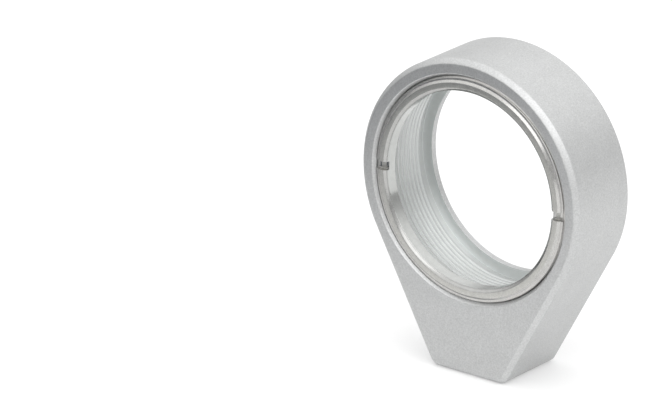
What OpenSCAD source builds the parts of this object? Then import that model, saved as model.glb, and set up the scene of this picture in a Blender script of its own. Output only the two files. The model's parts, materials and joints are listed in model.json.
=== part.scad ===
// Fixed lens mount for round optics of 25.4 mm (1 inch) diameter.
// One solid body carries a threaded bore with a seat for the lens, on a foot that
// tapers down to a small base. A slotted retaining ring screws in from the front.
//
// Frame: the origin is the centre of the base face, +Z is up, the optical axis
// runs along Y at axis_h, and the side that takes the lens faces -Y.

/* [Mount body] */
// Outer diameter of the ring that surrounds the lens
outer_d = 30.1; // [29:0.1:34]
// Height of the optical axis above the base face
axis_h = 22.0; // [20.5:0.1:40]
// Thickness of the body along the optical axis
body_t = 9.9; // [8:0.1:16]
// Width of the base face, across the optical axis
foot_w = 9.95; // [8:0.05:20]
// Size of the 45 degree chamfer along the outer edges
edge_bevel = 0.55; // [0.2:0.05:0.8]

/* [Lens bore] */
// Major diameter of the lens thread
thread_d = 26.29; // [25.7:0.01:27.5]
// Size of the 45 degree chamfer at the mouth of the thread
mouth_bevel = 0.3; // [0.1:0.05:0.5]
// How far the run-out groove is cut outside the thread
relief_depth = 0.15; // [0.05:0.05:0.4]
// Width of the run-out groove, from the lens seat to the end of the thread
relief_w = 1.1; // [0.5:0.1:2]
// Clear diameter inside the lip that the lens rests on
lip_d = 23.92; // [21:0.01:24.6]
// Thickness of the lip at the back of the body
lip_t = 0.85; // [0.5:0.05:2]
// Size of the chamfer on the lip's rear edge
lip_bevel = 0.1; // [0.05:0.05:0.3]

/* [Post hole] */
// Major diameter of the tapped hole in the base
post_thread_d = 4.17; // [3:0.01:5]
// Depth of the tapped hole, down to the end of its straight wall
post_depth = 6.4; // [4:0.1:6.8]
// Included angle of the drill point at the hole's bottom
drill_angle = 118; // [110:1:150]
// Size of the 45 degree countersink at the hole's mouth
post_bevel = 0.3; // [0.1:0.05:0.6]

/* [Retaining ring] */
// Thickness of the ring along the optical axis
ring_t = 2.05; // [1.8:0.05:2.6]
// How far the ring's face stands out of the body's front
ring_proud = 0.03; // [0:0.01:0.3]
// Clear diameter of the ring
ring_bore_d = 22.76; // [20:0.01:23.2]
// Width of the bevel round the ring's bore, measured on the face
bore_bevel_w = 0.37; // [0.1:0.01:0.5]
// Depth of the bevel round the ring's bore
bore_bevel_depth = 0.28; // [0.1:0.01:0.5]
// Width of the shelf between the ring's face and its thread
shelf_w = 0.4; // [0.2:0.05:0.5]
// How far the shelf lies behind the ring's face
shelf_depth = 0.48; // [0.2:0.02:0.7]
// Size of the 45 degree chamfer at each end of the ring's thread
ring_bevel = 0.28; // [0.1:0.01:0.35]
// Width of the two spanner slots
slot_w = 1.0; // [0.6:0.05:2]
// Depth of the two spanner slots
slot_depth = 0.6; // [0.4:0.02:1.2]
// How far the ring is turned in its thread, in degrees; at 0 the slots lie level
ring_turn = 0.9; // [-90:0.1:90]

/* [Fit] */
// Radial running clearance between the ring's thread and the body's thread
thread_clearance = 0.05; // [0.02:0.01:0.1]

/* [Hidden] */
$fn = 180;

// How far a cut runs past the surface that it opens
cut_past = 1;

outer_r = outer_d / 2;
front_y = -body_t / 2;
back_y = body_t / 2;

// The flanks leave the corners of the base and run into the ring as tangents, to a
// circle a hair inside its surface, so that plane and cylinder cross cleanly.
// Their angle is measured from the base face.
flank_dip = 0.01;
flank_r = outer_r - flank_dip;
corner_x = foot_w / 2;
flank_angle = atan2(axis_h, -corner_x) - asin(flank_r / norm([corner_x, axis_h]));
tangent_x = flank_r * sin(flank_angle);
tangent_z = axis_h - flank_r * cos(flank_angle);

thread_r = thread_d / 2;
relief_r = thread_r + relief_depth;
lip_r = lip_d / 2;
seat_y = back_y - lip_t;

post_r = post_thread_d / 2;
drill_point_h = post_r / tan(drill_angle / 2);

ring_r = thread_r - thread_clearance;
ring_bore_r = ring_bore_d / 2;
ring_shelf_r = ring_r - ring_bevel;
ring_face_r = ring_shelf_r - shelf_w;
ring_front_y = front_y - ring_proud;

// Revolves a profile of [radius, y] points round the optical axis
module about_optical_axis(points) {
    translate([0, 0, axis_h])
        rotate([-90, 0, 0])
            rotate_extrude()
                polygon(points);
}

// The ring that surrounds the lens, as a full disc chamfered front and back
module outer_disc() {
    inset_r = outer_r - edge_bevel;
    about_optical_axis([
        [0, front_y],
        [inset_r, front_y],
        [outer_r, front_y + edge_bevel],
        [outer_r, back_y - edge_bevel],
        [inset_r, back_y],
        [0, back_y]
    ]);
}

// A square bar along X whose edge cuts a 45 degree chamfer of edge_bevel
module chamfer_bar() {
    side = edge_bevel * sqrt(2);
    rotate([45, 0, 0])
        cube([4 * axis_h, side, side], center = true);
}

// The foot from its base up to the optical axis, chamfered like the disc
module foot_block() {
    difference() {
        translate([0, back_y, 0])
            rotate([90, 0, 0])
                linear_extrude(body_t)
                    polygon([
                        [-corner_x, 0],
                        [corner_x, 0],
                        [tangent_x, tangent_z],
                        [0, axis_h],
                        [-tangent_x, tangent_z]
                    ]);
        for (y = [front_y, back_y]) {
            translate([0, y, 0])
                chamfer_bar();
            for (side = [-1, 1])
                translate([side * corner_x, y, 0])
                    rotate([0, -side * flank_angle, 0])
                        chamfer_bar();
        }
    }
}

// Everything that is bored out from the front: mouth chamfer, thread, run-out
// groove, the seat that the lens rests on and the clear opening behind it
module lens_bore() {
    about_optical_axis([
        [0, front_y - cut_past],
        [thread_r + mouth_bevel + cut_past, front_y - cut_past],
        [thread_r, front_y + mouth_bevel],
        [thread_r, seat_y - relief_w],
        [relief_r, seat_y - relief_w + relief_depth],
        [relief_r, seat_y],
        [lip_r, seat_y],
        [lip_r, back_y - lip_bevel],
        [lip_r + lip_bevel + cut_past, back_y + cut_past],
        [0, back_y + cut_past]
    ]);
}

// The tapped hole that a post's stud screws into, with the drill's point above it
module post_hole() {
    rotate_extrude()
        polygon([
            [0, -cut_past],
            [post_r + post_bevel + cut_past, -cut_past],
            [post_r, post_bevel],
            [post_r, post_depth],
            [0, post_depth + drill_point_h]
        ]);
}

module mount_body() {
    color("silver")
        difference() {
            union() {
                outer_disc();
                foot_block();
            }
            lens_bore();
            post_hole();
        }
}

// The ring's section: bevelled bore, flat face, shelf and thread, then a plain back
module ring_blank() {
    ring_back_y = ring_front_y + ring_t;
    shelf_y = ring_front_y + shelf_depth;
    about_optical_axis([
        [ring_bore_r, ring_front_y + bore_bevel_depth],
        [ring_bore_r + bore_bevel_w, ring_front_y],
        [ring_face_r, ring_front_y],
        [ring_face_r, shelf_y],
        [ring_shelf_r, shelf_y],
        [ring_r, shelf_y + ring_bevel],
        [ring_r, ring_back_y - ring_bevel],
        [ring_shelf_r, ring_back_y],
        [ring_bore_r, ring_back_y]
    ]);
}

// Two opposite slots across the face, for the tips of a spanner wrench
module spanner_slots() {
    slot_l = 2 * (ring_r + cut_past);
    translate([0, ring_front_y - cut_past, axis_h])
        rotate([0, ring_turn, 0])
            translate([-slot_l / 2, 0, -slot_w / 2])
                cube([slot_l, slot_depth + cut_past, slot_w]);
}

module retaining_ring() {
    color("gainsboro")
        difference() {
            ring_blank();
            spanner_slots();
        }
}

mount_body();
retaining_ring();
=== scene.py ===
import json
import math
import bpy
from mathutils import Matrix, Vector


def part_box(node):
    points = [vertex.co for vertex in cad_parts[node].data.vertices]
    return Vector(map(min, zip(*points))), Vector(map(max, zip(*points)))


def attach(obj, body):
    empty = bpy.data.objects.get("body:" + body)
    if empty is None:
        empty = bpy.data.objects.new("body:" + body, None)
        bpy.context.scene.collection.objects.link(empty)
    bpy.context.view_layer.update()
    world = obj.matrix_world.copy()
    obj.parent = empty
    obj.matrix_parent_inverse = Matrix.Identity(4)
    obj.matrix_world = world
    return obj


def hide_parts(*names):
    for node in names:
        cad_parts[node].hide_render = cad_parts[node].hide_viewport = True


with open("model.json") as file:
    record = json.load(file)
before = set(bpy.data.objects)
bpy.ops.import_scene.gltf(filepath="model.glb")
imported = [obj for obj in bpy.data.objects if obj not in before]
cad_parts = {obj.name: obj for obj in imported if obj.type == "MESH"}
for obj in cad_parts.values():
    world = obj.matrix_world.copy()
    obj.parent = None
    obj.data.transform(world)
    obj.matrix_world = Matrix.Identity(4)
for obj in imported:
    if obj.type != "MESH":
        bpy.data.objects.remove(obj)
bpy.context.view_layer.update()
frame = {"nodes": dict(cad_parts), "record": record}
print("frame loaded:", sorted(frame["nodes"]))

# what the frame says; everything is modelled in millimetres and brought to metres at the end
mm = 0.001
weldDistance = 0.0005                  # points closer than that become one, mm
smoothAngle = math.radians(28)         # sharper edges stay sharp
softSegments = 3                       # strips across a softened edge
mounts = {mount["name"]: mount for mount in frame["record"]["mounts"]}
bodyLow, bodyHigh = [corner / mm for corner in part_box("mount_body")]
ringLow, ringHigh = [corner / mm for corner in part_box("retaining_ring")]
axisHeight = mounts["rear_aperture"]["pos_m"][2] / mm
frontY, backY = bodyLow.y, bodyHigh.y
seatY = mounts["lens_seat"]["pos_m"][1] / mm
lipRadius = mounts["rear_aperture"]["dims"]["r_mm"]


# helpers for working in edit mode
def startEditing(piece):
    if bpy.context.mode != "OBJECT":
        bpy.ops.object.mode_set(mode="OBJECT")
    bpy.ops.object.select_all(action="DESELECT")
    bpy.context.view_layer.objects.active = piece
    piece.select_set(True)
    bpy.ops.object.mode_set(mode="EDIT")
    bpy.ops.mesh.select_mode(type="VERT")
    bpy.ops.mesh.select_all(action="DESELECT")


def stopEditing():
    bpy.ops.object.mode_set(mode="OBJECT")


def newPiece(name):
    piece = bpy.context.active_object
    piece.name = name
    piece.data.name = name
    return piece


# selects the edges whose two end points both pass the test, and stays in edit mode
def pickEdges(piece, test):
    startEditing(piece)
    bpy.ops.mesh.select_mode(type="EDGE")
    stopEditing()
    points = [test(vertex.co) for vertex in piece.data.vertices]
    for edge in piece.data.edges:
        edge.select = points[edge.vertices[0]] and points[edge.vertices[1]]
    bpy.ops.object.mode_set(mode="EDIT")


def near(value, target, slack=0.003):        # all in millimetres
    return abs(value - target) < slack


def radiusAt(point):
    return math.hypot(point.x, point.z - axisHeight)


def applyModifiers(piece):
    bpy.ops.object.select_all(action="DESELECT")
    bpy.context.view_layer.objects.active = piece
    piece.select_set(True)
    for modifier in list(piece.modifiers):
        bpy.ops.object.modifier_apply(modifier=modifier.name)


# takes the cutter out of the piece, clears it away and joins points that came to lie together
def carve(piece, cutter):
    cut = piece.modifiers.new("carve", "BOOLEAN")
    cut.operation = "DIFFERENCE"
    cut.solver = "MANIFOLD"
    cut.object = cutter
    applyModifiers(piece)
    bpy.data.objects.remove(cutter)
    startEditing(piece)
    bpy.ops.mesh.select_all(action="SELECT")
    bpy.ops.mesh.remove_doubles(threshold=weldDistance)
    stopEditing()


# draws a chain of [radius, depth] points by extruding one vertex in the XY plane, and rounds
# the corners; a closed outline ends on its first point again
def drawProfile(name, points, softness=0.0):
    bpy.ops.object.select_all(action="DESELECT")
    bpy.ops.mesh.primitive_plane_add(size=1, location=(0, 0, 0))      # merged to one point
    profile = newPiece(name)
    startEditing(profile)
    bpy.ops.mesh.select_all(action="SELECT")
    bpy.ops.mesh.merge(type="CENTER")
    bpy.ops.transform.translate(value=(points[0][0], points[0][1], 0))
    for before, after in zip(points, points[1:]):
        step = (after[0] - before[0], after[1] - before[1], 0)
        bpy.ops.mesh.extrude_region_move(TRANSFORM_OT_translate={"value": step})
    bpy.ops.mesh.select_all(action="SELECT")
    bpy.ops.mesh.remove_doubles(threshold=weldDistance)
    if softness:
        bpy.ops.mesh.bevel(offset=softness, segments=softSegments, affect="VERTICES")
    stopEditing()
    return profile


# spins a profile all the way round its depth axis
def revolve(profile, steps):
    startEditing(profile)
    bpy.ops.mesh.select_all(action="SELECT")
    bpy.ops.mesh.spin(steps=steps, angle=math.tau, center=(0, 0, 0), axis=(0, 1, 0))
    bpy.ops.mesh.select_all(action="SELECT")
    bpy.ops.mesh.remove_doubles(threshold=weldDistance)
    bpy.ops.mesh.normals_make_consistent(inside=False)
    stopEditing()


# puts a piece in its place, and leaves its object at the origin, unturned and unscaled
def place(piece, location=(0, 0, 0), rotation=(0, 0, 0), scale=1.0):
    bpy.ops.object.select_all(action="DESELECT")
    bpy.context.view_layer.objects.active = piece
    piece.select_set(True)
    piece.location = location
    piece.rotation_euler = rotation
    piece.scale = (scale, scale, scale)
    bpy.ops.object.transform_apply(location=True, rotation=True, scale=True)


# the revolved shapes are made round the Y axis through the origin
def ontoOpticalAxis(piece):
    place(piece, location=(0, 0, axisHeight))


def ontoPostAxis(piece):
    place(piece, rotation=(math.pi / 2, 0, 0))


# a right-handed coil that cuts one V-shaped groove round the depth axis: the groove's floor lies
# at floorR, it is open at openR, and its middle starts at depth start, turned by startTurn
def threadCutter(name, thread, floorR, openR, floorHalf, start, turns, startTurn=0.0):
    openHalf = floorHalf + abs(floorR - openR) * thread["flankSlope"]
    section = [
        (openR, -openHalf),
        (floorR, -floorHalf),
        (floorR, floorHalf),
        (openR, openHalf),
        (openR, -openHalf),
    ]
    coil = drawProfile(name, section)
    place(coil, rotation=(math.pi / 2, 0, 0))      # the screw modifier winds round Z
    wind = coil.modifiers.new("wind", "SCREW")
    wind.axis = "Z"
    wind.angle = math.tau
    wind.screw_offset = thread["pitch"]
    wind.iterations = turns
    wind.steps = thread["steps"]
    wind.render_steps = thread["steps"]
    applyModifiers(coil)
    startEditing(coil)
    bpy.ops.mesh.select_all(action="SELECT")
    bpy.ops.mesh.fill_holes(sides=len(section) - 1)      # the coil's two ends
    bpy.ops.mesh.normals_make_consistent(inside=False)
    stopEditing()
    place(coil, location=(0, start, 0), rotation=(-math.pi / 2, startTurn, 0))
    return coil


# smooths what is round, keeps what is flat flat, and brings the piece to metres
def finishPiece(piece, body, node):
    place(piece, scale=mm)
    bpy.ops.object.shade_smooth_by_angle(angle=smoothAngle)
    weigh = piece.modifiers.new("weigh", "WEIGHTED_NORMAL")
    weigh.keep_sharp = True
    weigh.weight = 100                 # the largest faces decide
    applyModifiers(piece)
    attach(piece, body)
    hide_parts(node)
    triangles = sum(len(face.vertices) - 2 for face in piece.data.polygons)
    print(piece.name, "finished,", triangles, "triangles")


# the thread that the bore and the ring share: 40 turns to the inch, right-handed; in millimetres
lensThread = {
    "pitch": 0.635,
    "majorR": 13.145,
    "minorR": 12.82,
    "ringRootR": 12.78,
    "flankSlope": math.tan(math.radians(30)),      # 60 degrees between the flanks
    "flatHalf": 0.04,       # half the flat at the bottom of the bore's groove
    "overrun": 0.1,         # how far a cutter's open side stands out of the wall it cuts
    "start": -5.4,          # depth at which both grooves start, outside the front
    "turns": 14,            # from there into the bore's relief
    "ringTurns": 5,         # from there past the back of the ring
    "steps": 180,           # segments in one turn
}


# the mount: ring, tapered foot, stepped and threaded bore, tapped hole
mountBody = {
    "outerR": bodyHigh.x,
    "outerSteps": 240,
    "footWidth": 9.95,
    "soleHeight": 0.1,       # height of the block that the foot ends in
    "edgeChamfer": 0.55,
    "footRound": 0.75,       # how far the lower corners are cut back along flank and sole
    "footRoundSegments": 6,
    "edgeSoftness": 0.12,
    "flatAngle": math.radians(0.4),      # faces that meet at less are one flat face
    "sharpAngle": math.radians(30),      # edges sharper than that are softened
    "mouthR": 13.38,
    "mouthDepth": 0.42,
    "counterboreR": 13.07,
    "counterboreDepth": 0.75,
    "mouthSoftness": 0.08,
    "lipSoftness": 0.03,
    "boreSteps": 180,
    "reliefR": 13.295,
    "reliefStart": 3.15,
    "lipBevel": 0.1,
    "cutPast": 1.0,          # how far the cutters run out of the surfaces
}
postHole = {
    "countersinkR": 2.385,
    "minorR": 1.72,
    "majorR": 2.085,
    "depth": 6.4,
    "drillPast": 0.9,        # the drill goes that much deeper than the thread
    "drillPointAngle": math.radians(118),
    "threadTurns": 8,
    "steps": 96,
}
postThread = {
    "pitch": 0.794,
    "flankSlope": math.tan(math.radians(30)),
    "flatHalf": 0.05,        # half the flat at the bottom of the groove
    "overrun": 0.1,
    "steps": 48,
}


def makeMountBlank():
    sizes = mountBody
    thickness = backY - frontY
    bpy.ops.object.select_all(action="DESELECT")
    bpy.ops.mesh.primitive_cylinder_add(
        vertices=sizes["outerSteps"], radius=sizes["outerR"], depth=thickness, location=(0, 0, 0))
    blank = newPiece("mountBody")
    place(blank, location=(0, 0, axisHeight), rotation=(math.pi / 2, 0, 0))
    startEditing(blank)
    bpy.ops.mesh.primitive_cube_add(
        size=1, location=(0, 0, sizes["soleHeight"] / 2),
        scale=(sizes["footWidth"], thickness, sizes["soleHeight"]))
    bpy.ops.mesh.select_all(action="SELECT")
    bpy.ops.mesh.convex_hull()                     # the flanks come out as tangents
    bpy.ops.mesh.select_all(action="SELECT")
    bpy.ops.mesh.dissolve_limited(angle_limit=sizes["flatAngle"])
    stopEditing()

    # the foot's lower corners are rounded from front to back
    for side in (-1, 1):
        pickEdges(blank, lambda point: point.x * side > 0 and near(point.z, 0))
        bpy.ops.mesh.bevel(offset=sizes["footRound"], segments=sizes["footRoundSegments"], affect="EDGES")
        stopEditing()

    # the chamfer all round the front and the back, and then the chamfer's own edges
    for faceY in (frontY, backY):
        pickEdges(blank, lambda point: near(point.y, faceY))
        bpy.ops.mesh.bevel(offset=sizes["edgeChamfer"], segments=1, affect="EDGES")
        stopEditing()

    startEditing(blank)
    bpy.ops.mesh.select_mode(type="EDGE")
    bpy.ops.mesh.edges_select_sharp(sharpness=sizes["sharpAngle"])
    bpy.ops.mesh.bevel(offset=sizes["edgeSoftness"], segments=softSegments, affect="EDGES")
    stopEditing()
    return blank


def makeBoreCutter():
    sizes = mountBody
    past = sizes["cutPast"]
    mouthOpen = sizes["mouthR"] + past * (sizes["mouthR"] - sizes["counterboreR"]) / sizes["mouthDepth"]
    threadY = frontY + sizes["counterboreDepth"]
    minorR = lensThread["minorR"]
    bore = drawProfile("boreCutter", [
        (0, frontY - past),
        (mouthOpen, frontY - past),
        (sizes["counterboreR"], frontY + sizes["mouthDepth"]),
        (sizes["counterboreR"], threadY),
        (minorR, threadY + sizes["counterboreR"] - minorR),
        (minorR, sizes["reliefStart"] - (sizes["reliefR"] - minorR) / 2),
        (sizes["reliefR"], sizes["reliefStart"]),
        (sizes["reliefR"], seatY),
        (lipRadius, seatY),
        (lipRadius, backY - sizes["lipBevel"]),
        (lipRadius + sizes["lipBevel"] + past, backY + past),
        (0, backY + past),
    ])
    revolve(bore, sizes["boreSteps"])
    ontoOpticalAxis(bore)
    return bore


def makePostHoleCutter():
    sizes = postHole
    past = mountBody["cutPast"]
    drilledDepth = sizes["depth"] + sizes["drillPast"]
    pointHeight = sizes["minorR"] / math.tan(sizes["drillPointAngle"] / 2)
    hole = drawProfile("postHoleCutter", [
        (0, -past),
        (sizes["countersinkR"] + past, -past),
        (sizes["minorR"], sizes["countersinkR"] - sizes["minorR"]),
        (sizes["minorR"], drilledDepth),
        (0, drilledDepth + pointHeight),
    ])
    revolve(hole, sizes["steps"])
    ontoPostAxis(hole)
    return hole


def makeMountBody():
    sizes = mountBody
    body = makeMountBlank()
    carve(body, makeBoreCutter())
    rims = [
        (frontY, sizes["mouthR"], sizes["mouthSoftness"]),
        (backY, lipRadius + sizes["lipBevel"], sizes["lipSoftness"]),
    ]
    for rimY, rimR, softness in rims:
        pickEdges(body, lambda point: near(point.y, rimY) and near(radiusAt(point), rimR))
        bpy.ops.mesh.bevel(offset=softness, segments=softSegments, affect="EDGES")
        stopEditing()
    thread = threadCutter(
        "lensThreadCutter", lensThread, floorR=lensThread["majorR"],
        openR=lensThread["minorR"] - lensThread["overrun"], floorHalf=lensThread["flatHalf"],
        start=lensThread["start"], turns=lensThread["turns"])
    ontoOpticalAxis(thread)
    carve(body, thread)
    print("mount body bored and threaded")

    carve(body, makePostHoleCutter())
    thread = threadCutter(
        "postThreadCutter", postThread, floorR=postHole["majorR"],
        openR=postHole["minorR"] - postThread["overrun"], floorHalf=postThread["flatHalf"],
        start=postHole["depth"] - postHole["threadTurns"] * postThread["pitch"],
        turns=postHole["threadTurns"])
    ontoPostAxis(thread)
    carve(body, thread)
    print("post hole drilled and tapped")
    return body


body = makeMountBody()
finishPiece(body, "mount", "mount_body")


# the retaining ring: bevelled bore, flat face, narrow ledge, outside thread, two slots
retainingRing = {
    "outerR": ringHigh.x,
    "boreR": 11.38,
    "boreBevelWidth": 0.37,
    "boreBevelDepth": 0.28,
    "faceR": 12.36,          # the face ends here and slopes down to a narrow ledge
    "ledgeStartR": 12.63,
    "ledgeEndR": 12.87,
    "ledgeDepth": 0.22,
    "rimR": 12.97,           # end of the ledge's outer chamfer
    "neckR": 13.0,           # a slightly tapered neck leads from there to the full thread
    "taperDepth": 0.65,
    "neckDepth": 0.85,
    "neckRise": 0.05,
    "backBevelWidth": 0.3,
    "backBevelDepth": 0.4,
    "endChamfer": 0.28,
    "edgeSoftness": 0.03,
    "steps": 180,
    "slotWidth": 1.0,
    "slotDepth": 0.6,
    "slotTurn": math.radians(0.9),       # the ring sits a little clockwise of level
    "slotFloorRound": 0.1,
    "slotRoundSegments": 4,
}


def makeRingBlank():
    sizes = retainingRing
    ledgeY = ringLow.y + sizes["ledgeDepth"]
    neckY = ringLow.y + sizes["neckDepth"]
    blank = drawProfile("retainingRing", [
        (sizes["boreR"], ringLow.y + sizes["boreBevelDepth"]),
        (sizes["boreR"] + sizes["boreBevelWidth"], ringLow.y),
        (sizes["faceR"], ringLow.y),
        (sizes["ledgeStartR"], ledgeY),
        (sizes["ledgeEndR"], ledgeY),
        (sizes["rimR"], ledgeY + sizes["rimR"] - sizes["ledgeEndR"]),
        (sizes["neckR"], ringLow.y + sizes["taperDepth"]),
        (sizes["neckR"], neckY),
        (sizes["outerR"], neckY + sizes["neckRise"]),
        (sizes["outerR"], ringHigh.y - sizes["endChamfer"]),
        (sizes["outerR"] - sizes["endChamfer"], ringHigh.y),
        (sizes["boreR"] + sizes["backBevelWidth"], ringHigh.y),
        (sizes["boreR"], ringHigh.y - sizes["backBevelDepth"]),
        (sizes["boreR"], ringLow.y + sizes["boreBevelDepth"]),
    ], softness=sizes["edgeSoftness"])
    revolve(blank, sizes["steps"])
    ontoOpticalAxis(blank)
    return blank


# one bar across the whole ring cuts both slots; the edges of their floors are rounded
def makeSlotCutter():
    sizes = retainingRing
    past = mountBody["cutPast"]
    bpy.ops.object.select_all(action="DESELECT")
    bpy.ops.mesh.primitive_cube_add(
        size=1, location=(0, ringLow.y + (sizes["slotDepth"] - past) / 2, 0),
        scale=(2 * (sizes["outerR"] + past), sizes["slotDepth"] + past, sizes["slotWidth"]))
    bar = newPiece("slotCutter")
    bpy.ops.object.transform_apply(location=True, rotation=True, scale=True)
    pickEdges(bar, lambda point: near(point.y, ringLow.y + sizes["slotDepth"]))
    bpy.ops.mesh.bevel(
        offset=sizes["slotFloorRound"], segments=sizes["slotRoundSegments"], affect="EDGES")
    stopEditing()
    place(bar, location=(0, 0, axisHeight), rotation=(0, sizes["slotTurn"], 0))
    return bar


def makeRetainingRing():
    sizes = retainingRing
    ring = makeRingBlank()
    grooveHalf = lensThread["pitch"] / 2 - lensThread["flatHalf"]      # at the ring's crest
    depth = sizes["outerR"] - lensThread["ringRootR"]
    grooves = threadCutter(
        "ringThreadCutter", lensThread, floorR=lensThread["ringRootR"],
        openR=sizes["outerR"] + lensThread["overrun"],
        floorHalf=grooveHalf - depth * lensThread["flankSlope"],
        start=lensThread["start"], turns=lensThread["ringTurns"],
        startTurn=math.pi)             # half a turn on, so that it holds the bore's crest
    ontoOpticalAxis(grooves)
    carve(ring, grooves)
    carve(ring, makeSlotCutter())
    return ring


ring = makeRetainingRing()
finishPiece(ring, "ring", "retaining_ring")


# helpers for the materials
noiseRange = (0.25, 0.75)        # most of a noise texture's values lie between these
noiseMiddle = sum(noiseRange) / 2
edgeBlend = 0.01                 # half the width of the blend between two tones, mm


def newMaterial(name):
    material = bpy.data.materials.new(name)
    material.use_nodes = True
    tree = material.node_tree
    tree.nodes.clear()
    output = tree.nodes.new("ShaderNodeOutputMaterial")
    return material, tree, output


def giveMaterial(piece, material):
    piece.data.materials.clear()
    piece.data.materials.append(material)


# gives each socket its value in turn, as a link or as a fixed value
def feed(tree, sockets, values):
    for socket, value in zip(sockets, values):
        if isinstance(value, bpy.types.NodeSocket):
            tree.links.new(value, socket)
        else:
            socket.default_value = value


def addNode(tree, kind, inputs=(), **settings):
    node = tree.nodes.new(kind)
    for name, value in settings.items():
        setattr(node, name, value)
    feed(tree, node.inputs, inputs)
    return node


def calculate(tree, operation, *inputs):
    return addNode(tree, "ShaderNodeMath", inputs, operation=operation).outputs[0]


# gives the one output that the operation uses, be it a vector or a value
def vectorMath(tree, operation, *inputs):
    node = addNode(tree, "ShaderNodeVectorMath", inputs, operation=operation)
    return [socket for socket in node.outputs if socket.enabled][0]


def scaled(tree, vector, factor):
    node = addNode(tree, "ShaderNodeVectorMath", operation="SCALE")
    feed(tree, (node.inputs["Vector"], node.inputs["Scale"]), (vector, factor))
    return node.outputs["Vector"]


# places on the piece in millimetres: the point itself, its distance from the optical axis,
# its depth, and its direction from the axis
def axisPlaces(tree):
    point = scaled(tree, addNode(tree, "ShaderNodeTexCoord").outputs["Object"], 1 / mm)
    fromAxis = vectorMath(tree, "SUBTRACT", point, (0, 0, axisHeight))
    across = vectorMath(tree, "MULTIPLY", fromAxis, (1, 0, 1))
    radius = vectorMath(tree, "LENGTH", across)
    depth = addNode(tree, "ShaderNodeSeparateXYZ", (fromAxis,)).outputs["Y"]
    return {
        "point": point,
        "fromAxis": fromAxis,
        "radius": radius,
        "depth": depth,
        "outwards": vectorMath(tree, "NORMALIZE", across),
    }


def noise(tree, vector, scale, detail=2.0, roughness=0.5):
    texture = addNode(tree, "ShaderNodeTexNoise", normalize=True)
    sockets = [texture.inputs[name] for name in ("Vector", "Scale", "Detail", "Roughness")]
    feed(tree, sockets, (vector, scale, detail, roughness))
    return texture.outputs[0]


# fine lines that run round the axis, as turning leaves them
def turningMarks(tree, places, acrossScale, roundScale):
    around = vectorMath(tree, "MULTIPLY", places["outwards"], (roundScale,) * 3)
    stretch = addNode(tree, "ShaderNodeCombineXYZ", (
        calculate(tree, "MULTIPLY", places["radius"], acrossScale),
        calculate(tree, "MULTIPLY", places["depth"], acrossScale),
        0.0))
    vector = vectorMath(tree, "ADD", around, stretch.outputs[0])
    return noise(tree, vector, 1.0)


# a value spread evenly about its middle by a noise texture
def spread(tree, texture, middle, reach):
    low, high = noiseRange
    ranged = addNode(tree, "ShaderNodeMapRange", (texture, low, high, middle - reach, middle + reach))
    return ranged.outputs[0]


def mix(tree, kind, factor, first, second):
    node = addNode(tree, "ShaderNodeMix", data_type=kind)
    feed(tree, [socket for socket in node.inputs if socket.enabled], (factor, first, second))
    return [socket for socket in node.outputs if socket.enabled][0]


# 0 below the edge and 1 above it, with a short blend
def overEdge(tree, value, edge):
    step = addNode(tree, "ShaderNodeMapRange", (value, edge - edgeBlend, edge + edgeBlend, 0.0, 1.0))
    return step.outputs[0]


# bare metal: its colour is multiplied by the tone, and its fine relief has a height in metres
def makeMetal(tree, output, base, tone, roughness, relief):
    bump = addNode(tree, "ShaderNodeBump")
    bump.inputs["Distance"].default_value = 1.0
    tree.links.new(relief, bump.inputs["Height"])
    shader = addNode(tree, "ShaderNodeBsdfPrincipled")
    shader.inputs["Metallic"].default_value = 1.0
    tree.links.new(scaled(tree, base, tone), shader.inputs["Base Color"])
    tree.links.new(roughness, shader.inputs["Roughness"])
    tree.links.new(bump.outputs["Normal"], shader.inputs["Normal"])
    tree.links.new(shader.outputs["BSDF"], output.inputs["Surface"])


blastedAluminium = {
    "colour": (0.548, 0.553, 0.552, 1),          # of what is blasted: all but the bore
    "boreColour": (0.66, 0.675, 0.67, 1),
    "roughness": 0.5,
    "boreRoughness": 0.42,
    "grainScale": 6.0,           # grains to the millimetre, about
    "grainDepth": 0.01,          # mm
    "grainTone": 0.15,
    "patchScale": 0.5,
    "patchTone": 0.02,
    "lineScale": 14.0,
    "lineWander": 3.0,           # how much the lines change on their way round
    "lineDepth": 0.002,          # mm
    "recessTone": 0.55,          # painted shade between the mouth and the thread
    # painted shade on the thread's crests and painted light in its grooves
    "crestTone": 0.8,
    "grooveTone": 1.13,
    "reliefTone": 0.92,
    "seatTone": 1.3,
    "footEdgeTone": 1.09,        # painted highlight on the front chamfer along the foot
    "footEdgeHeights": (18.0, 11.0),        # it begins at the first and is full at the second, mm
    "zoneMargin": 0.02,          # the zones of tone end this far from the real edges, mm
    "lipMargin": 0.01,           # but the bore's zone takes in the seat, mm
    "crestDepth": 0.03,          # a crest's painted shade reaches this far into the groove, mm
    "mouthMargin": 0.2,          # the chamfer's zone leaves out the mouth by this much, mm
}


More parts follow.
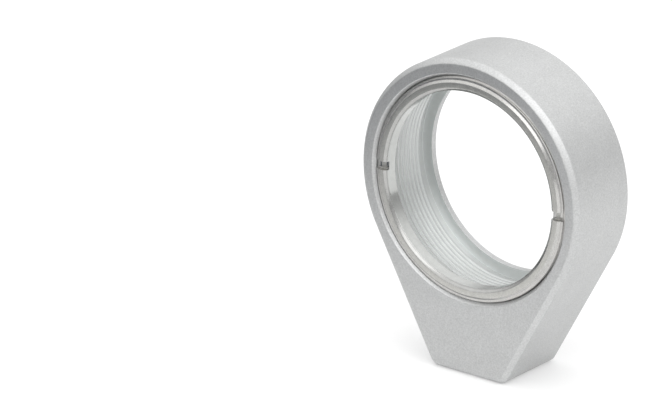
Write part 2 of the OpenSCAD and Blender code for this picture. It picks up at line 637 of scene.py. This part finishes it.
def makeBlastedAluminium():
    look = blastedAluminium
    material, tree, output = newMaterial("blastedAluminium")
    places = axisPlaces(tree)

    # the bore is machined after the blasting: it has no grain, but fine lines round it
    mouthEnd = frontY + mountBody["mouthDepth"]
    insideBore = calculate(tree, "LESS_THAN", places["radius"], mountBody["mouthR"] - look["zoneMargin"])
    behindMouth = calculate(tree, "GREATER_THAN", places["depth"], mouthEnd)
    beforeLip = calculate(tree, "LESS_THAN", places["depth"], seatY + look["lipMargin"])
    offFaces = calculate(tree, "MULTIPLY", behindMouth, beforeLip)
    machined = calculate(tree, "MULTIPLY", insideBore, offFaces)

    grain = noise(tree, places["point"], look["grainScale"], detail=3.0, roughness=0.6)
    patches = noise(tree, places["point"], look["patchScale"])
    lines = turningMarks(tree, places, look["lineScale"], look["lineWander"])

    # its tone changes from the recess at the mouth to the thread, the relief and the seat; the thread's
    # crests are darkened with painted shade and its grooves lightened with painted light
    inGroove = overEdge(tree, places["radius"], lensThread["minorR"] + look["crestDepth"])
    pastRecess = overEdge(tree, places["depth"], frontY + mountBody["counterboreDepth"])
    inRelief = overEdge(tree, places["depth"], mountBody["reliefStart"])
    onSeat = overEdge(tree, places["depth"], seatY - look["zoneMargin"])
    boreTone = mix(tree, "FLOAT", inGroove, look["crestTone"], look["grooveTone"])
    # painted shade: the recess between the mouth and the thread is darkened
    boreTone = mix(tree, "FLOAT", pastRecess, look["recessTone"], boreTone)
    boreTone = mix(tree, "FLOAT", inRelief, boreTone, look["reliefTone"])
    boreTone = mix(tree, "FLOAT", onSeat, boreTone, look["seatTone"])
    zoneTone = mix(tree, "FLOAT", machined, 1.0, boreTone)

    blastedGrain = mix(tree, "FLOAT", machined, grain, noiseMiddle)
    tone = calculate(tree, "MULTIPLY",
                     spread(tree, blastedGrain, 1.0, look["grainTone"]),
                     spread(tree, patches, 1.0, look["patchTone"]))
    tone = calculate(tree, "MULTIPLY", tone, zoneTone)

    # painted highlight: the front chamfer is brightened along the foot
    height = addNode(tree, "ShaderNodeSeparateXYZ", (places["point"],)).outputs["Z"]
    lowDown = addNode(tree, "ShaderNodeMapRange", (height,) + look["footEdgeHeights"]).outputs[0]
    half = mountBody["edgeChamfer"] / 2
    chamferDepths = calculate(tree, "COMPARE", places["depth"], frontY + half, half - look["zoneMargin"])
    offMouth = overEdge(tree, places["radius"], mountBody["mouthR"] + look["mouthMargin"])
    onChamfer = calculate(tree, "MULTIPLY", chamferDepths, offMouth)
    footHighlightMask = calculate(tree, "MULTIPLY", onChamfer, lowDown)
    tone = calculate(tree, "MULTIPLY", tone, mix(tree, "FLOAT", footHighlightMask, 1.0, look["footEdgeTone"]))

    base = mix(tree, "RGBA", machined, look["colour"], look["boreColour"])
    roughness = mix(tree, "FLOAT", machined, look["roughness"], look["boreRoughness"])
    relief = mix(tree, "FLOAT", machined,
                 calculate(tree, "MULTIPLY", grain, look["grainDepth"] * mm),
                 calculate(tree, "MULTIPLY", lines, look["lineDepth"] * mm))
    makeMetal(tree, output, base, tone, roughness, relief)
    return material


turnedAluminium = {
    "wallColour": (0.488, 0.497, 0.484),
    # painted shade: the corner and the bevel are darker, so that the bevel's glint stays narrow
    "cornerColour": (0.36, 0.36, 0.352),
    "bevelColour": (0.44, 0.44, 0.43),
    "faceColour": (0.54, 0.535, 0.51),
    "slopeColour": (0.5, 0.496, 0.482),
    "ledgeColour": (0.565, 0.557, 0.54),
    "wallRoughness": 0.13,
    "cornerRoughness": 0.28,
    "bevelRoughness": 0.17,
    "faceRoughness": 0.42,
    "slopeRoughness": 0.17,
    "ledgeRoughness": 0.38,
    "roughnessReach": 0.02,
    "lineScale": 22.0,
    "lineWander": 4.0,
    "lineDepth": 0.0003,        # mm
    "markScale": 1.6,
    "markTone": 0.06,
    "speckleScale": 7.0,
    "speckleTone": 0.16,
    "wallMargin": 0.02,         # the wall's look reaches this far onto the bevel, mm
    "cornerWidth": 0.12,        # the innermost part of the bevel is duller, and darkened with painted shade that narrows its glint, mm
    # painted shade on the slots' side walls
    "slotWallTone": 0.75,
    "slotMargin": 0.005,        # the slots' zone takes in their walls, mm
    "slotSink": 0.01,           # and their floors, but not the ring's face, mm
}


def makeTurnedAluminium():
    look = turnedAluminium
    material, tree, output = newMaterial("turnedAluminium")
    places = axisPlaces(tree)
    lines = turningMarks(tree, places, look["lineScale"], look["lineWander"])
    marks = noise(tree, places["point"], look["markScale"], detail=3.0)

    # the cuts differ in shine and tone, from the bore outwards; the darker tones of the corner and the
    # bevel are painted shade that keeps the bevel's glint narrow
    cuts = ["wall", "corner", "bevel", "face", "slope", "ledge"]
    sizes = retainingRing
    faceStartR = sizes["boreR"] + sizes["boreBevelWidth"]
    edges = [
        sizes["boreR"] + look["wallMargin"],
        sizes["boreR"] + look["cornerWidth"],
        faceStartR,
        sizes["faceR"],
        sizes["ledgeStartR"],
    ]

    def zones(kind, value):
        result = look[cuts[0] + value]
        for cut, edge in zip(cuts[1:], edges):
            result = mix(tree, kind, overEdge(tree, places["radius"], edge), result, look[cut + value])
        return result

    # the face is grainy, the wall and the bevel are clean
    onFace = overEdge(tree, places["radius"], faceStartR)
    speckle = noise(tree, places["point"], look["speckleScale"], detail=3.0, roughness=0.6)
    speckle = mix(tree, "FLOAT", onFace, noiseMiddle, speckle)
    tone = calculate(tree, "MULTIPLY",
                     spread(tree, marks, 1.0, look["markTone"]),
                     spread(tree, speckle, 1.0, look["speckleTone"]))

    # painted shade: the slots' side walls are darkened
    acrossBar = (math.sin(sizes["slotTurn"]), 0, math.cos(sizes["slotTurn"]))
    aside = vectorMath(tree, "DOT_PRODUCT", places["fromAxis"], acrossBar)
    offMiddle = calculate(tree, "ABSOLUTE", aside)
    halfWidth = sizes["slotWidth"] / 2
    halfDepth = sizes["slotDepth"] / 2
    slotMiddle = ringLow.y + look["slotSink"] + halfDepth
    inWidth = calculate(tree, "LESS_THAN", offMiddle, halfWidth + look["slotMargin"])
    inDepth = calculate(tree, "COMPARE", places["depth"], slotMiddle, halfDepth)
    inSlot = calculate(tree, "MULTIPLY", inWidth, inDepth)
    atWall = calculate(tree, "GREATER_THAN", offMiddle, halfWidth - sizes["slotFloorRound"])
    shadedSlotWalls = calculate(tree, "MULTIPLY", inSlot, atWall)
    tone = mix(tree, "FLOAT", shadedSlotWalls, tone, calculate(tree, "MULTIPLY", tone, look["slotWallTone"]))

    uneven = spread(tree, marks, 0.0, look["roughnessReach"])
    roughness = calculate(tree, "ADD", zones("FLOAT", "Roughness"), uneven)
    relief = calculate(tree, "MULTIPLY", lines, look["lineDepth"] * mm)
    makeMetal(tree, output, zones("VECTOR", "Colour"), tone, roughness, relief)
    return material


giveMaterial(body, makeBlastedAluminium())
giveMaterial(ring, makeTurnedAluminium())
print("materials made")


# floor, light and camera, in metres and watts
studio = {
    "floorSize": 8.0,
    "floorColour": (0.62, 0.62, 0.62, 1),
    "floorGlow": 0.3,             # seen by the camera and in reflections
    "backdropColour": (0.8, 0.8, 0.8, 1),          # seen by the camera alone
    "roomBrightest": 1.5,
    "roomBands": [(0.12, 0.38), (0.45, 0.8), (1.0, 1.0)],    # height of the direction, brightness
    "softboxSize": (0.9, 0.55),
    "softboxPower": 1.4,
    "softboxTurn": math.radians(45),     # from the front towards the right
    "softboxRise": math.radians(47),
    "softboxDistance": 0.6,
    "cards": [                    # near: how far the near edge lies from the origin
        {"size": 0.5, "near": 0.064, "turn": math.radians(-45)},
        {"size": 0.018, "near": 0.034, "turn": math.radians(-118)},
    ],
    "cardHeight": 0.0002,
    "cardColour": (0.025, 0.034, 0.048, 1),
}


# a direction given as a turn from the front towards the right and a rise above the floor
def direction(turn, rise=0.0):
    level = math.cos(rise)
    return Vector((math.sin(turn) * level, -math.cos(turn) * level, math.sin(rise)))


def makeFloor():
    bpy.ops.object.select_all(action="DESELECT")
    bpy.ops.mesh.primitive_plane_add(size=studio["floorSize"], location=(0, 0, 0))
    floor = newPiece("floor")
    material, tree, output = newMaterial("paperFloor")
    paper = addNode(tree, "ShaderNodeBsdfDiffuse", (studio["floorColour"],))
    rays = addNode(tree, "ShaderNodeLightPath")
    seen = calculate(tree, "MAXIMUM", rays.outputs["Is Camera Ray"], rays.outputs["Is Glossy Ray"])
    glow = addNode(tree, "ShaderNodeEmission")
    tree.links.new(calculate(tree, "MULTIPLY", seen, studio["floorGlow"]), glow.inputs["Strength"])
    both = addNode(tree, "ShaderNodeAddShader", (paper.outputs["BSDF"], glow.outputs["Emission"]))
    tree.links.new(both.outputs["Shader"], output.inputs["Surface"])
    giveMaterial(floor, material)


# dark sheets on the floor that only reflections see; they give the shiny ring its dark side
def makeDarkCards():
    material, tree, output = newMaterial("darkCard")
    paper = addNode(tree, "ShaderNodeBsdfDiffuse", (studio["cardColour"],))
    tree.links.new(paper.outputs["BSDF"], output.inputs["Surface"])
    for number, sheet in enumerate(studio["cards"]):
        bpy.ops.object.select_all(action="DESELECT")
        bpy.ops.mesh.primitive_plane_add(size=sheet["size"], location=(0, 0, 0))
        card = newPiece("darkCard" + str(number))
        card.rotation_euler = (0, 0, sheet["turn"])
        card.location = direction(sheet["turn"]) * (sheet["near"] + sheet["size"] / 2)
        card.location.z = studio["cardHeight"]
        giveMaterial(card, material)
        card.visible_camera = False
        card.visible_diffuse = False
        card.visible_shadow = False


def makeWorld():
    world = bpy.data.worlds.new("studioRoom")
    world.use_nodes = True
    bpy.context.scene.world = world
    tree = world.node_tree
    tree.nodes.clear()
    output = addNode(tree, "ShaderNodeOutputWorld")
    towards = addNode(tree, "ShaderNodeTexCoord")
    height = addNode(tree, "ShaderNodeSeparateXYZ", (towards.outputs["Generated"],)).outputs["Z"]
    bands = addNode(tree, "ShaderNodeValToRGB", (height,))
    stops = bands.color_ramp.elements
    stops.remove(stops[0])
    for number, (rise, brightness) in enumerate(studio["roomBands"]):
        stop = stops[0] if number == 0 else stops.new(rise)
        stop.position = rise
        stop.color = (brightness, brightness, brightness, 1)
    room = addNode(tree, "ShaderNodeBackground", (bands.outputs["Color"], studio["roomBrightest"]))
    backdrop = addNode(tree, "ShaderNodeBackground", (studio["backdropColour"],))
    rays = addNode(tree, "ShaderNodeLightPath")
    either = addNode(tree, "ShaderNodeMixShader", (
        rays.outputs["Is Camera Ray"], room.outputs["Background"], backdrop.outputs["Background"]))
    tree.links.new(either.outputs["Shader"], output.inputs["Surface"])


def makeSoftbox():
    lamp = bpy.data.lights.new("softbox", "AREA")
    lamp.shape = "RECTANGLE"
    lamp.size, lamp.size_y = studio["softboxSize"]
    lamp.energy = studio["softboxPower"]
    softbox = bpy.data.objects.new("softbox", lamp)
    bpy.context.scene.collection.objects.link(softbox)
    away = direction(studio["softboxTurn"], studio["softboxRise"])
    softbox.location = away * studio["softboxDistance"]
    softbox.rotation_euler = away.to_track_quat("Z", "Y").to_euler()
    softbox.visible_camera = False


viewpoint = {
    "azimuth": math.radians(38.505),
    "elevation": math.radians(20.783),
    "distance": 0.73,
    "lens": 352.2,           # focal length, mm
    "nearest": 0.01,
    "aimHeight": 0.015,
    "aimLeft": 0.01755,      # the mount stands right of the middle
    "aimUp": 0.00305,
}


def makeCamera():
    view = viewpoint
    lift = Matrix.Rotation(math.pi / 2 - view["elevation"], 3, "X")
    turn = Matrix.Rotation(view["azimuth"], 3, "Z") @ lift
    lens = bpy.data.cameras.new("camera")
    lens.lens = view["lens"]
    lens.clip_start = view["nearest"]
    camera = bpy.data.objects.new("camera", lens)
    bpy.context.scene.collection.objects.link(camera)
    aim = Vector((0, 0, view["aimHeight"])) + turn @ Vector((-view["aimLeft"], view["aimUp"], 0))
    camera.location = aim + turn @ Vector((0, 0, view["distance"]))
    camera.rotation_euler = turn.to_euler()
    bpy.context.scene.camera = camera


makeFloor()
makeDarkCards()
makeWorld()
makeSoftbox()
makeCamera()
bpy.context.scene.view_settings.view_transform = "Standard"
print("floor, light and camera placed")
